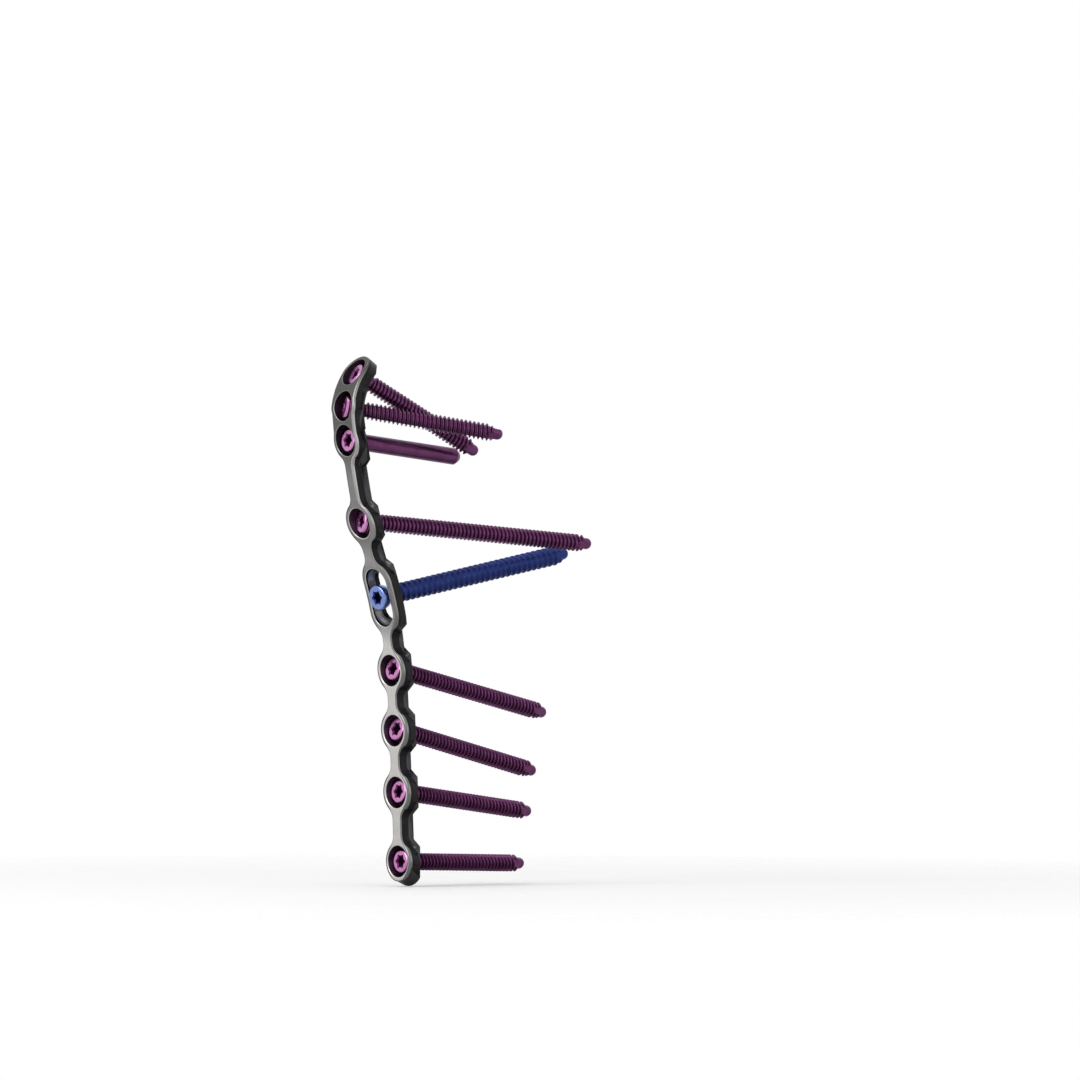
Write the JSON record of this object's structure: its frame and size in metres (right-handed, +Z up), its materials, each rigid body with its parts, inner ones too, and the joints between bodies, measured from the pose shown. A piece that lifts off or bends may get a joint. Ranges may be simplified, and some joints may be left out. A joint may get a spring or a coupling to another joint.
{
  "type": "orthopedic bone plate",
  "caption": "Contoured bone plate with a scalloped outline, angled round holes and a sliding slot, fitted with round-headed locking screws, a smooth peg and a coarse cortical screw.",
  "frame": {"origin": "on the axis of the lowest hole, where it leaves the flat pad on the bone side of the foot", "axes": "+Y from the plate into the bone along the lowest hole, +Z up the plate from its foot to its head, +X across the plate"},
  "size_m": [0.0138, 0.0418, 0.0729],
  "materials": {
    "plate": "grey anodised titanium, satin",
    "locking_screws": "plum anodised titanium, satin",
    "slot_screw": "blue anodised titanium, satin"
  },
  "bodies": {
    "root": {"plate": "plate", "head_screw_top": "locking_screws", "head_screw_middle": "locking_screws", "neck_screw": "locking_screws", "shaft_screw_1": "locking_screws", "shaft_screw_2": "locking_screws", "shaft_screw_3": "locking_screws", "shaft_screw_4": "locking_screws", "head_peg": "locking_screws", "slot_screw": "slot_screw"}
  },
  "joints": []
}
